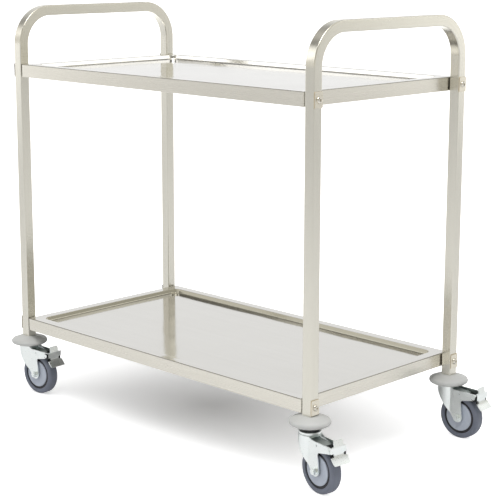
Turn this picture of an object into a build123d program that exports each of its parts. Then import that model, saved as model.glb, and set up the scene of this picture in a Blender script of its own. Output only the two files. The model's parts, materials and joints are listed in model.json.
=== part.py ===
from build123d import *
import os
from math import cos, hypot, radians, sin, sqrt

# Two-tier serving trolley. X runs along the long side, Y across it and Z up.
# The origin is on the floor, midway between the four legs. All sizes are in millimetres.

os.makedirs("parts", exist_ok=True)

# End frames: square tube bent into an inverted U, over the legs
frame_length = 958.0
frame_width = 489.0
cart_height = 943.0
tube_size = 24.0
tube_wall = 1.2
tube_corner = 2.0
handle_bend = 79.0

# Shelves: height of each rim above the leg ends, then the pressing
upper_shelf_rise = 675.5
lower_shelf_rise = 55.5
shelf_sheet = 1.0
shelf_flange = 30.0
shelf_corner = 4.0
rim_width = 25.0
rim_round = 1.5
tray_depth = 10.0
tray_slope = 3.0
tray_floor_corner = 15.0
tray_lip_round = 1.2
tray_floor_round = 6.5
hem_width = 8.0

# Bolted joint between leg and shelf
plate_thickness = 2.5
plate_height = 32.0
plate_corner = 2.0
plate_round = 0.8
spacer_thickness = 2.4
spacer_inset = 1.5
spacer_set_back = 2.5
spacer_corner = 3.0
bracket_thickness = 2.0
bracket_height = 20.0
bracket_arm = 40.0
bracket_corner = 2.0
bolt_diameter = 8.0
bolt_clearance = 0.2
bolt_head_diameter = 14.0
bolt_head_height = 4.4
bolt_head_edge = 0.9
bolt_head_flat = 7.4
bolt_socket = 5.0
bolt_socket_depth = 2.6
bolt_tip = 2.0
nut_flats = 13.0
nut_height = 6.5
thread_clearance = 0.05

# Leg end: threaded plug and rubber bumper disc
insert_length = 30.0
insert_clearance = 0.1
bumper_diameter = 87.0
bumper_thickness = 23.0
bumper_rim_height = 9.5
bumper_rim_round = 6.0
bumper_top_diameter = 37.0
bumper_base_diameter = 58.0
bumper_clearance = 0.1
bumper_race_gap = 2.0
bumper_hang = 14.0

# Caster: overall
caster_height = 131.5
caster_trail = 37.5
stem_diameter = 12.0
stem_length = 24.0
collar_flats = 19.0
collar_height = 8.0
race_diameter = 48.5
race_height = 4.5
race_round = 1.5
race_groove = 1.9
race_groove_depth = 2.0
king_pin_diameter = 12.0
lock_ring_diameter = 30.0
lock_ring_thickness = 2.0
lock_notch_count = 12
lock_notch_width = 4.0
lock_notch_depth = 2.5
rivet_diameter = 16.0
rivet_height = 3.2
swivel_clearance = 0.4
dust_cap_base = 41.4
dust_cap_top = 48.0
dust_cap_gap = 2.1
dust_cap_fit = 0.3
running_clearance = 0.05

# Wheel: as large as the fork takes, with room for the brake over the tyre
brake_headroom = 14.2
wheel_width = 25.0
tyre_shoulder = 6.0
tyre_lip = 1.0
tyre_thickness = 11.75
rim_wall = 8.0
web_thickness = 6.0
hub_diameter = 40.0
cover_rim_inset = 4.5
cover_thickness = 2.0
cover_inset = 0.7
cover_hole = 18.0
cover_round = 0.6
bearing_diameter = 32.0
bearing_width = 9.0
axle_sleeve_diameter = 12.0
axle_diameter = 8.0
axle_nut_flats = 13.0
axle_nut_height = 7.0
axle_head_height = 5.3
axle_tip = 2.0

# Fork: pressed housing
fork_sheet = 2.5
fork_side_gap = 3.0
fork_flare_angle = 60.0
fork_boss_radius = 11.5
fork_web_height = 10.0
fork_knee_front = 15.0
fork_knee_drop = 13.7
fork_rear_x = 43.5
fork_inner_round = 5.0
arm_root_drop = 28.0
arm_step_start = 17.0
arm_step_end = 27.0
arm_step_drop = 4.5
arm_end_radius = 7.0
pivot_boss_radius = 2.0
pivot_boss_short = 0.2
pivot_dimple_radius = 1.6
pivot_dimple_depth = 1.2

# Brake pedal: its pivot pin's drop is from the crown, and other places are from the pin
pedal_pin_x = 80.0
pedal_pin_drop = 10.2
pedal_pin_diameter = 6.0
pedal_pin_head = 9.0
pedal_pin_head_height = 1.2
pedal_sheet = 2.2
pedal_bend = 4.0
pedal_side_gap = 0.3
pedal_ear = 2.0
pedal_ear_radius = 6.5
pedal_body_reach = 8.7
pedal_body_drop = 9.0
pedal_shoulder_rise = 8.0
pedal_tab_lean = 3.0
pedal_tab_rise = 22.0
pedal_tab_half_width = 12.0
pedal_lip_reach = 22.0
pedal_lip_drop = 26.0
pedal_lip_overhang = 1.0
pedal_corner = 3.0
pedal_notch_radius = 3.0
cam_half_width = 9.0
cam_radius = 5.5
cam_lobe_radius = 3.5
cam_lobe_throw = 5.0
cam_lobe_angle = -45.0

# Brake shoe: lever under the pedal's cam, with a tongue under the lock ring
shoe_pivot_x = 42.0
shoe_pivot_drop = 9.7
shoe_sheet = 2.2
shoe_bend = 6.0
shoe_ear = 2.0
shoe_ear_radius = 3.6
shoe_ear_gap = 0.9
shoe_tip_x = 12.0
shoe_ring_gap = 1.4
shoe_crest_rise = 2.3
shoe_crest_run = 3.0
shoe_knee_run = 14.0
shoe_knee_drop = 1.0
shoe_tail_x = 83.0
shoe_tail_flat = 9.0
shoe_cam_gap = 0.4
shoe_pad_start = 52.0
shoe_pad_end = 68.0
shoe_pad_half_width = 9.0
shoe_tyre_gap = 1.4

# Casters at rest: side along X, side along Y, the bumper's hang below the leg and heading in degrees
casters = {
    "fl": (-1, -1, bumper_hang, 4.8),
    "fr": (1, -1, 0, -7.8),
    "bl": (-1, 1, bumper_hang, 2.0),
    "br": (1, 1, bumper_hang, 2.8),
}

# Places that follow from the sizes above
leg_x = frame_length / 2 - tube_size / 2
leg_y = frame_width / 2 - tube_size / 2
handle_line = cart_height - tube_size / 2
tube_bore = tube_size - 2 * tube_wall
bore_corner = max(tube_corner - tube_wall, 0.2)
shelf_length = frame_length - 2 * (tube_size + spacer_thickness)
rim_heights = {"upper": caster_height + upper_shelf_rise, "lower": caster_height + lower_shelf_rise}
bolt_hole = bolt_diameter + 2 * bolt_clearance
bolt_heights = [rim - shelf_flange / 2 for rim in rim_heights.values()]
bolt_points = [(side * leg_y, height) for side in (-1, 1) for height in bolt_heights]
bolt_stack = plate_thickness + tube_size + spacer_thickness + shelf_sheet + bracket_thickness
leg_points = [(x * leg_x, y * leg_y) for x in (-1, 1) for y in (-1, 1)]

race_top = caster_height - collar_height
race_base = race_top - race_height
groove_base = race_base - race_groove
crown_top = groove_base - swivel_clearance
crown_base = crown_top - fork_sheet
ring_top = crown_base - swivel_clearance
ring_base = ring_top - lock_ring_thickness
wheel_radius = (crown_base - brake_headroom) / 2
axle_height = wheel_radius
rim_diameter = 2 * (wheel_radius - tyre_thickness)
cheek_in = wheel_width / 2 + fork_side_gap
cheek_out = cheek_in + fork_sheet
cover_face = wheel_width / 2 - cover_inset
cover_seat = cover_face - cover_thickness
pedal_pin_height = crown_base - pedal_pin_drop
pedal_ear_in = cheek_out + pedal_side_gap
pedal_ear_out = pedal_ear_in + pedal_ear
shoe_pivot_height = crown_base - shoe_pivot_drop
shoe_tip_height = ring_base - shoe_ring_gap - shoe_sheet / 2
shoe_ear_out = cheek_in - shoe_ear_gap
shoe_ear_in = shoe_ear_out - shoe_ear

axle_axis = Axis((caster_trail, 0, axle_height), (0, 1, 0))
wheel_section = Plane((caster_trail, 0, axle_height), x_dir=(0, 0, 1), z_dir=(-1, 0, 0))


def write(part, name):
    """Label a finished piece and write its file."""
    part.label = name
    export_step(part, f"parts/{name}.step")


# End frames
for name, side in (("left", -1), ("right", 1)):
    frame_plane = Plane.YZ.offset(side * leg_x)
    with BuildPart() as end_frame:
        with BuildLine(frame_plane) as tube_line:
            FilletPolyline(
                (-leg_y, caster_height),
                (-leg_y, handle_line),
                (leg_y, handle_line),
                (leg_y, caster_height),
                radius=handle_bend,
            )
        with BuildSketch(Plane(tube_line.line @ 0, z_dir=tube_line.line % 0)):
            RectangleRounded(tube_size, tube_size, tube_corner)
            RectangleRounded(tube_bore, tube_bore, bore_corner, mode=Mode.SUBTRACT)
        sweep()
        with BuildSketch(frame_plane):
            with Locations(*bolt_points):
                Circle(bolt_hole / 2)
        extrude(amount=tube_size, both=True, mode=Mode.SUBTRACT)
    write(end_frame.part, f"end_frame_{name}")


def tray_outline(depth, skin):
    """Outline of the sunken tray at a depth below the rim, or of its underside at a wall skin."""
    inset = depth * tray_slope / tray_depth - skin
    RectangleRounded(
        shelf_length - 2 * (rim_width + inset),
        frame_width - 2 * (rim_width + inset),
        tray_floor_corner + tray_slope - inset,
    )


def tray_block(top, base, skin, floor_round):
    """Solid that fills the sunken tray between two depths below the rim, rounded at its floor."""
    with BuildPart() as block:
        for depth in (top, base):
            with BuildSketch(Plane.XY.offset(-depth)):
                tray_outline(depth, skin)
        loft(ruled=True)
        fillet(block.faces().sort_by(Axis.Z)[0].edges(), floor_round)
    return block.part


# Shelves
tray_skin = shelf_sheet * hypot(tray_slope, tray_depth) / tray_depth
flange_bore_corner = max(shelf_corner - shelf_sheet, 0.2)
tray_wall = tray_block(shelf_sheet, tray_depth + shelf_sheet, tray_skin, tray_floor_round + shelf_sheet)
tray_hollow = tray_block(0, tray_depth, 0, tray_floor_round)
for name, rim in rim_heights.items():
    with BuildPart() as shelf:
        with BuildSketch(Plane.XY.offset(rim)):
            RectangleRounded(shelf_length, frame_width, shelf_corner)
        extrude(amount=-shelf_flange)
        fillet(shelf.faces().sort_by(Axis.Z)[-1].edges(), rim_round)
        with BuildSketch(Plane.XY.offset(rim - shelf_sheet)):
            RectangleRounded(
                shelf_length - 2 * shelf_sheet, frame_width - 2 * shelf_sheet, flange_bore_corner
            )
        extrude(amount=-shelf_flange, mode=Mode.SUBTRACT)
        with BuildSketch(Plane.XY.offset(rim - shelf_flange)):
            RectangleRounded(shelf_length, frame_width, shelf_corner)
            Rectangle(shelf_length - 2 * hem_width, frame_width - 2 * hem_width, mode=Mode.SUBTRACT)
        extrude(amount=shelf_sheet)
        with Locations((0, 0, rim)):
            add(tray_wall)
            add(tray_hollow, mode=Mode.SUBTRACT)
        rim_face = shelf.faces().filter_by(Axis.Z).sort_by(Axis.Z)[-1]
        fillet(rim_face.inner_wires()[0].edges(), tray_lip_round)
        with BuildSketch(Plane.YZ):
            with Locations(*[point for point in bolt_points if point[1] == rim - shelf_flange / 2]):
                Circle(bolt_hole / 2)
        extrude(amount=shelf_length, both=True, mode=Mode.SUBTRACT)
    write(shelf.part, f"{name}_shelf")


# Plates under the bolt heads, on the outer faces of the legs
with BuildPart() as joint_plates:
    for side in (-1, 1):
        with BuildSketch(Plane.YZ.offset(side * frame_length / 2)):
            with Locations(*bolt_points):
                RectangleRounded(tube_size, plate_height, plate_corner)
                Circle(bolt_hole / 2, mode=Mode.SUBTRACT)
        extrude(amount=side * plate_thickness)
    across = joint_plates.faces().filter_by(Axis.X).group_by(Axis.X)
    outer_edges = [face.outer_wire().edges() for face in across[0] + across[-1]]
    fillet(outer_edges, plate_round)
write(joint_plates.part, "joint_plates")


# Spacers between the legs and the shelf ends
with BuildPart() as shelf_spacers:
    for side in (-1, 1):
        with BuildSketch(Plane.YZ.offset(side * shelf_length / 2)):
            with Locations(*bolt_points):
                RectangleRounded(
                    tube_size - 2 * spacer_set_back, shelf_flange - 2 * spacer_inset, spacer_corner
                )
                Circle(bolt_hole / 2, mode=Mode.SUBTRACT)
        extrude(amount=side * spacer_thickness)
write(shelf_spacers.part, "shelf_spacers")


# Angles inside the shelf corners, which the bolts pull on
bracket_x = shelf_length / 2 - shelf_sheet
bracket_y = frame_width / 2 - shelf_sheet
with BuildPart() as corner_brackets:
    for height in bolt_heights:
        with BuildSketch(Plane.XY.offset(height - bracket_height / 2)):
            RectangleRounded(2 * bracket_x, 2 * bracket_y, bracket_corner + bracket_thickness)
            RectangleRounded(
                2 * (bracket_x - bracket_thickness),
                2 * (bracket_y - bracket_thickness),
                bracket_corner,
                mode=Mode.SUBTRACT,
            )
            Rectangle(2 * (bracket_x - bracket_arm), frame_width, mode=Mode.SUBTRACT)
            Rectangle(shelf_length, 2 * (bracket_y - bracket_arm), mode=Mode.SUBTRACT)
        extrude(amount=bracket_height)
    with BuildSketch(Plane.YZ):
        with Locations(*bolt_points):
            Circle(bolt_hole / 2)
    extrude(amount=shelf_length, both=True, mode=Mode.SUBTRACT)
write(corner_brackets.part, "corner_brackets")


# Button-head bolt and its nut, drawn with the head up and the seat at zero
with BuildPart() as bolt:
    with BuildSketch(Plane.XZ):
        with BuildLine():
            Polyline((0, bolt_head_height), (0, 0), (bolt_head_diameter / 2, 0))
            Line((bolt_head_diameter / 2, 0), (bolt_head_diameter / 2, bolt_head_edge))
            TangentArc(
                (bolt_head_diameter / 2, bolt_head_edge),
                (bolt_head_flat / 2, bolt_head_height),
                tangent=(0, 1),
            )
            Line((bolt_head_flat / 2, bolt_head_height), (0, bolt_head_height))
        make_face()
    revolve(axis=Axis.Z)
    with BuildSketch(Plane.XY.offset(bolt_head_height)):
        RegularPolygon(bolt_socket / 2, 6, major_radius=False)
    extrude(amount=-bolt_socket_depth, mode=Mode.SUBTRACT)
    with BuildSketch(Plane.XY):
        Circle(bolt_diameter / 2)
    extrude(amount=-(bolt_stack + nut_height + bolt_tip))

with BuildPart() as nut:
    with BuildSketch(Plane.XY.offset(-bolt_stack)):
        RegularPolygon(nut_flats / 2, 6, major_radius=False)
        Circle(bolt_diameter / 2 + thread_clearance, mode=Mode.SUBTRACT)
    extrude(amount=-nut_height)

bolt_seat = frame_length / 2 + plate_thickness
bolt_places = [
    Location((side * bolt_seat, y, z), (0, side * 90, 0)) for side in (-1, 1) for y, z in bolt_points
]

with BuildPart() as shelf_bolts:
    with Locations(*bolt_places):
        add(bolt.part)
write(shelf_bolts.part, "shelf_bolts")

with BuildPart() as shelf_nuts:
    with Locations(*bolt_places):
        add(nut.part)
write(shelf_nuts.part, "shelf_nuts")


# Threaded plugs in the leg ends
insert_size = tube_bore - 2 * insert_clearance
with BuildPart() as leg_inserts:
    with BuildSketch(Plane.XY.offset(caster_height)):
        with Locations(*leg_points):
            RectangleRounded(insert_size, insert_size, bore_corner)
            Circle(stem_diameter / 2 + thread_clearance, mode=Mode.SUBTRACT)
    extrude(amount=insert_length)
write(leg_inserts.part, "leg_inserts")


# Bumper disc, drawn with its base at zero
bumper_bore = tube_size + 2 * bumper_clearance
bumper_pocket = bumper_hang + swivel_clearance
with BuildPart() as bumper:
    with BuildSketch(Plane.XZ):
        with BuildLine() as bumper_edge:
            Line((0, 0), (bumper_base_diameter / 2, 0))
            CenterArc(
                (bumper_diameter / 2 - bumper_rim_round, bumper_rim_height), bumper_rim_round, 0, 360
            )
            Line((0, bumper_thickness), (bumper_top_diameter / 2, bumper_thickness))
        make_hull(bumper_edge.edges())
    revolve(axis=Axis.Z)
    with BuildSketch(Plane.XY):
        RectangleRounded(bumper_bore, bumper_bore, tube_corner)
    extrude(amount=bumper_thickness, mode=Mode.SUBTRACT)
    with BuildSketch(Plane.XY):
        Circle(race_diameter / 2 + bumper_race_gap)
    extrude(amount=bumper_pocket, mode=Mode.SUBTRACT)


# Stem, collar, upper race, king pin, lock ring and rivet: one riveted assembly
with BuildPart() as caster_stem:
    with BuildSketch(Plane.XY.offset(caster_height)):
        Circle(stem_diameter / 2)
    extrude(amount=stem_length)
    with BuildSketch(Plane.XY.offset(race_top)):
        RegularPolygon(collar_flats / 2, 6, major_radius=False)
    extrude(amount=collar_height)
    with BuildSketch(Plane.XZ) as race_half:
        with Locations((0, race_base)):
            Rectangle(race_diameter / 2, race_height, align=Align.MIN)
        fillet(race_half.vertices().group_by(Axis.X)[-1], race_round)
    revolve(axis=Axis.Z)
    with BuildSketch(Plane.XY.offset(groove_base)):
        Circle(race_diameter / 2 - race_groove_depth)
    extrude(amount=race_groove)
    with BuildSketch(Plane.XY.offset(ring_base)):
        Circle(king_pin_diameter / 2)
    extrude(amount=groove_base - ring_base)
    with BuildSketch(Plane.XY.offset(ring_base)):
        Circle(lock_ring_diameter / 2)
        with PolarLocations(lock_ring_diameter / 2, lock_notch_count):
            Rectangle(2 * lock_notch_depth, lock_notch_width, mode=Mode.SUBTRACT)
    extrude(amount=lock_ring_thickness)
    with BuildSketch(Plane.XY.offset(ring_base)):
        Circle(rivet_diameter / 2)
    extrude(amount=-rivet_height, taper=20)


# Dust cap round the collar, over the race
cap_base = race_top + dust_cap_gap
with BuildPart() as dust_cap:
    with BuildSketch(Plane.XY.offset(cap_base)):
        Circle(dust_cap_base / 2)
    with BuildSketch(Plane.XY.offset(caster_height - dust_cap_fit)):
        Circle(dust_cap_top / 2)
    loft(ruled=True)
    with BuildSketch(Plane.XY.offset(race_top)):
        RegularPolygon(collar_flats / 2 + dust_cap_fit, 6, major_radius=False)
    extrude(amount=collar_height, mode=Mode.SUBTRACT)


def housing_plan(radius, half_width, rear):
    """Plan of the fork: round front, flanks tangent to it, then parallel cheeks back to the rear."""
    flare = radians(fork_flare_angle)
    flank = (radius * sin(flare) - half_width) / cos(flare)
    start = (radius * cos(flare), radius * sin(flare))
    knee = (start[0] + flank * sin(flare), half_width)
    with BuildLine() as outline:
        ThreePointArc(start, (-radius, 0), (start[0], -start[1]))
        Polyline((start[0], -start[1]), (knee[0], -knee[1]), (rear, -half_width))
        Polyline((rear, -half_width), (rear, half_width), knee, start)
    make_face(outline.edges())


# Fork: the plan and the side view cut from one block, then hollowed to sheet
race_radius = race_diameter / 2
fork_rear = pedal_pin_x + arm_end_radius
arm_root = crown_top - arm_root_drop
arm_crest = (arm_step_end, crown_top - arm_step_drop)
knee_height = crown_top - fork_knee_drop
with BuildPart() as fork:
    with BuildSketch(Plane.XY):
        housing_plan(race_radius, cheek_out, fork_rear)
    extrude(amount=crown_top)
    with BuildSketch(Plane.XZ) as fork_side:
        with BuildLine() as cheek_edge:
            CenterArc((caster_trail, axle_height), fork_boss_radius, 0, 360)
            Line((-fork_knee_front, knee_height), (fork_rear_x, knee_height))
        make_hull(cheek_edge.edges())
        with BuildLine() as arm_edge:
            CenterArc((pedal_pin_x, pedal_pin_height), arm_end_radius, 0, 360)
            Line((caster_trail, arm_root), arm_crest)
        make_hull(arm_edge.edges())
        with BuildLine() as crown_edge:
            Line((-race_radius, crown_top - fork_web_height), (-race_radius, crown_top))
            Line((arm_step_start, crown_top), arm_crest)
            Line((-fork_knee_front, knee_height), (caster_trail, knee_height))
        make_hull(crown_edge.edges())
        inner_corner = fork_side.vertices().sort_by_distance((fork_rear_x, arm_root))[0]
        fillet(inner_corner, fork_inner_round)
    extrude(amount=race_radius, both=True, mode=Mode.INTERSECT)
    with BuildSketch(Plane.XY):
        housing_plan(race_radius - fork_sheet, cheek_in, fork_rear + fork_sheet)
    extrude(amount=crown_base, mode=Mode.SUBTRACT)
    with BuildSketch(Plane.XY.offset(crown_base)):
        housing_plan(race_radius - fork_sheet, cheek_in, fork_rear + fork_sheet)
        Circle(race_radius, mode=Mode.SUBTRACT)
    extrude(amount=fork_sheet, mode=Mode.SUBTRACT)
    with BuildSketch(Plane.XY.offset(crown_base)):
        Circle(king_pin_diameter / 2 + running_clearance)
    extrude(amount=fork_sheet, mode=Mode.SUBTRACT)
    with BuildSketch(Plane.XZ):
        with Locations((caster_trail, axle_height)):
            Circle(axle_diameter / 2 + running_clearance)
        with Locations((pedal_pin_x, pedal_pin_height)):
            Circle(pedal_pin_diameter / 2 + running_clearance)
    extrude(amount=cheek_out, both=True, mode=Mode.SUBTRACT)
    for side in (-1, 1):
        with BuildSketch(Plane.XZ.offset(side * cheek_in)):
            with Locations((shoe_pivot_x, shoe_pivot_height)):
                Circle(pivot_boss_radius)
        extrude(amount=-side * (shoe_ear_gap + shoe_ear - pivot_boss_short))
        with BuildSketch(Plane.XZ.offset(side * cheek_out)):
            with Locations((shoe_pivot_x, shoe_pivot_height)):
                Circle(pivot_dimple_radius)
        extrude(amount=-side * pivot_dimple_depth, mode=Mode.SUBTRACT)


# Axle set: bolt, nut and the sleeve that they clamp between the cheeks
head_plane = Plane.XZ.offset(-cheek_out)
nut_plane = Plane.XZ.offset(cheek_out)
with BuildPart() as axle:
    with BuildSketch(head_plane):
        with Locations((caster_trail, axle_height)):
            RegularPolygon(axle_nut_flats / 2, 6, major_radius=False)
    extrude(amount=-axle_head_height)
    with BuildSketch(head_plane):
        with Locations((caster_trail, axle_height)):
            Circle(axle_diameter / 2)
    extrude(amount=2 * cheek_out + axle_nut_height + axle_tip)
    with BuildSketch(nut_plane):
        with Locations((caster_trail, axle_height)):
            RegularPolygon(axle_nut_flats / 2, 6, major_radius=False)
            Circle(axle_diameter / 2 + thread_clearance, mode=Mode.SUBTRACT)
    extrude(amount=axle_nut_height)
    with BuildSketch(Plane.XZ):
        with Locations((caster_trail, axle_height)):
            Circle(axle_sleeve_diameter / 2)
            Circle(axle_diameter / 2 + running_clearance, mode=Mode.SUBTRACT)
    extrude(amount=cheek_in, both=True)


# Wheel: section across the axle, radius along the section plane's X
with BuildPart() as tyre:
    with BuildSketch(wheel_section) as tyre_half:
        with Locations((rim_diameter / 2, 0)):
            Rectangle(wheel_radius - rim_diameter / 2, wheel_width, align=(Align.MIN, Align.CENTER))
        fillet(tyre_half.vertices().group_by(Axis.X)[-1], tyre_shoulder)
        chamfer(tyre_half.vertices().group_by(Axis.X)[0], tyre_lip)
    revolve(axis=axle_axis)

with BuildPart() as wheel_core:
    with BuildSketch(wheel_section):
        with Locations((bearing_diameter / 2, 0)):
            Rectangle(
                (hub_diameter - bearing_diameter) / 2, 2 * cover_seat, align=(Align.MIN, Align.CENTER)
            )
            Rectangle(
                (rim_diameter - bearing_diameter) / 2, web_thickness, align=(Align.MIN, Align.CENTER)
            )
        with Locations((rim_diameter / 2, 0)):
            Rectangle(rim_wall, 2 * cover_seat, align=(Align.MAX, Align.CENTER))
    revolve(axis=axle_axis)

with BuildPart() as hub_covers:
    for side in (-1, 1):
        with BuildSketch(Plane.XZ.offset(side * cover_seat)):
            with Locations((caster_trail, axle_height)):
                Circle(rim_diameter / 2 - cover_rim_inset)
                Circle(cover_hole / 2, mode=Mode.SUBTRACT)
        extrude(amount=side * cover_thickness)
    cover_faces = hub_covers.faces().filter_by(Axis.Y).group_by(Axis.Y)
    fillet([face.outer_wire().edges() for face in cover_faces[0] + cover_faces[-1]], cover_round)

with BuildPart() as bearings:
    for side in (-1, 1):
        with BuildSketch(Plane.XZ.offset(side * cover_seat)):
            with Locations((caster_trail, axle_height)):
                Circle(bearing_diameter / 2)
                Circle(axle_sleeve_diameter / 2 + running_clearance, mode=Mode.SUBTRACT)
        extrude(amount=-side * bearing_width)


# Brake pedal: bent sheet trimmed to its rear view, with two ears and a cam on the pin
body_x = pedal_pin_x + pedal_body_reach
tab_top = (body_x - pedal_tab_lean, pedal_pin_height + pedal_tab_rise)
shoulder = (body_x, pedal_pin_height + pedal_shoulder_rise)
body_foot = (body_x, pedal_pin_height - pedal_body_drop)
lip_end = (pedal_pin_x + pedal_lip_reach, pedal_pin_height - pedal_lip_drop)
lip_half_width = pedal_ear_out + pedal_lip_overhang
with BuildPart() as pedal:
    with BuildSketch(Plane.XZ):
        with BuildLine():
            FilletPolyline(tab_top, shoulder, body_foot, lip_end, radius=pedal_bend)
        trace(line_width=pedal_sheet)
    extrude(amount=lip_half_width, both=True)
    with BuildSketch(Plane.YZ) as rear_view:
        with Locations((0, shoulder[1])):
            Rectangle(
                2 * pedal_tab_half_width, tab_top[1] - shoulder[1], align=(Align.CENTER, Align.MIN)
            )
        with Locations((0, body_foot[1])):
            Rectangle(
                2 * pedal_ear_out, shoulder[1] - body_foot[1], align=(Align.CENTER, Align.MIN)
            )
            Rectangle(
                2 * lip_half_width, body_foot[1] - lip_end[1], align=(Align.CENTER, Align.MAX)
            )
        with Locations((-pedal_ear_out, body_foot[1]), (pedal_ear_out, body_foot[1])):
            Circle(pedal_notch_radius, mode=Mode.SUBTRACT)
        ends = rear_view.vertices().group_by(Axis.Y)
        fillet(ends[0] + ends[-1], pedal_corner)
    extrude(amount=lip_end[0] + pedal_sheet, mode=Mode.INTERSECT)
    for side in (-1, 1):
        with BuildSketch(Plane.XZ.offset(side * pedal_ear_in)):
            with BuildLine() as ear_edge:
                CenterArc((pedal_pin_x, pedal_pin_height), pedal_ear_radius, 0, 360)
                Line(
                    (body_x, body_foot[1] + pedal_notch_radius + pedal_sheet),
                    (body_x, shoulder[1] - pedal_sheet),
                )
            make_hull(ear_edge.edges())
        extrude(amount=side * pedal_ear)
    with BuildSketch(Plane.XZ):
        with BuildLine() as cam_edge:
            CenterArc((pedal_pin_x, pedal_pin_height), cam_radius, 0, 360)
            CenterArc(
                (
                    pedal_pin_x + cam_lobe_throw * cos(radians(cam_lobe_angle)),
                    pedal_pin_height + cam_lobe_throw * sin(radians(cam_lobe_angle)),
                ),
                cam_lobe_radius,
                0,
                360,
            )
            Line((body_x, pedal_pin_height - cam_radius), (body_x, pedal_pin_height + cam_radius))
        make_hull(cam_edge.edges())
    extrude(amount=cam_half_width, both=True)
    with BuildSketch(Plane.XZ):
        with Locations((pedal_pin_x, pedal_pin_height)):
            Circle(pedal_pin_diameter / 2 + running_clearance)
    extrude(amount=lip_half_width, both=True, mode=Mode.SUBTRACT)

with BuildPart() as pedal_pin:
    with BuildSketch(Plane.XZ):
        with Locations((pedal_pin_x, pedal_pin_height)):
            Circle(pedal_pin_diameter / 2)
    extrude(amount=pedal_ear_out + pedal_side_gap + pedal_pin_head_height, both=True)
    for side in (-1, 1):
        with BuildSketch(Plane.XZ.offset(side * (pedal_ear_out + pedal_side_gap))):
            with Locations((pedal_pin_x, pedal_pin_height)):
                Circle(pedal_pin_head / 2)
        extrude(amount=side * pedal_pin_head_height)


# Brake shoe: bent lever on the fork's two bosses, tail under the cam, pad over the tyre
lobe_base = pedal_pin_height + cam_lobe_throw * sin(radians(cam_lobe_angle)) - cam_lobe_radius
shoe_tail_height = lobe_base - shoe_cam_gap - shoe_sheet / 2
crest_height = shoe_pivot_height + shoe_crest_rise
knee = (shoe_pivot_x + shoe_knee_run, shoe_pivot_height - shoe_knee_drop)
tail_start = (shoe_tail_x - shoe_tail_flat, shoe_tail_height)
pad_radius = wheel_radius + shoe_tyre_gap


def over_tyre(x):
    """Height of the pad's curved face at a place along the lever."""
    return axle_height + sqrt(pad_radius**2 - (x - caster_trail) ** 2)


def lever_height(x):
    """Height of the lever's middle line at a place along it, on either side of the knee."""
    end = tail_start if x > knee[0] else (shoe_pivot_x - shoe_crest_run, crest_height)
    return knee[1] + (x - knee[0]) * (end[1] - knee[1]) / (end[0] - knee[0])


pad_middle = (shoe_pad_start + shoe_pad_end) / 2
with BuildPart() as brake_shoe:
    with BuildSketch(Plane.XZ):
        with BuildLine():
            FilletPolyline(
                (shoe_tip_x, shoe_tip_height),
                (shoe_pivot_x - shoe_crest_run, crest_height),
                knee,
                tail_start,
                (shoe_tail_x, shoe_tail_height),
                radius=shoe_bend,
            )
        trace(line_width=shoe_sheet)
    extrude(amount=shoe_ear_in, both=True)
    for side in (-1, 1):
        with BuildSketch(Plane.XZ.offset(side * shoe_ear_in)):
            with BuildLine() as shoe_ear_edge:
                CenterArc((shoe_pivot_x, shoe_pivot_height), shoe_ear_radius, 0, 360)
                Line((shoe_pivot_x - shoe_ear_radius, crest_height), (shoe_pivot_x, crest_height))
            make_hull(shoe_ear_edge.edges())
            with Locations((shoe_pivot_x, shoe_pivot_height)):
                Circle(pivot_boss_radius + running_clearance, mode=Mode.SUBTRACT)
        extrude(amount=side * shoe_ear)
    with BuildSketch(Plane.XZ):
        with BuildLine():
            ThreePointArc(
                (shoe_pad_start, over_tyre(shoe_pad_start)),
                (pad_middle, over_tyre(pad_middle)),
                (shoe_pad_end, over_tyre(shoe_pad_end)),
            )
            Polyline(
                (shoe_pad_end, over_tyre(shoe_pad_end)),
                (shoe_pad_end, lever_height(shoe_pad_end)),
                knee,
                (shoe_pad_start, lever_height(shoe_pad_start)),
                (shoe_pad_start, over_tyre(shoe_pad_start)),
            )
        make_face()
    extrude(amount=shoe_pad_half_width, both=True)


caster_pieces = {
    "caster_stem": caster_stem,
    "dust_cap": dust_cap,
    "fork": fork,
    "axle": axle,
    "tyre": tyre,
    "wheel_core": wheel_core,
    "hub_covers": hub_covers,
    "bearings": bearings,
    "pedal": pedal,
    "pedal_pin": pedal_pin,
    "brake_shoe": brake_shoe,
}
for corner, (side_x, side_y, hang, heading) in casters.items():
    leg = (side_x * leg_x, side_y * leg_y)
    write(bumper.part.moved(Location((*leg, caster_height - hang))), f"bumper_{corner}")
    for name, piece in caster_pieces.items():
        write(piece.part.moved(Location((*leg, 0), (0, 0, heading))), f"{name}_{corner}")
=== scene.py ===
"""Two-tier stainless serving trolley: its meshes and finishes, its studio and the camera."""

import json
import logging
import math
from abc import ABC, abstractmethod
from dataclasses import dataclass
from enum import Enum
from typing import Callable, ClassVar, Mapping, Sequence, Union

import bmesh
import bpy
from mathutils import Matrix, Vector
from mathutils.bvhtree import BVHTree

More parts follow.
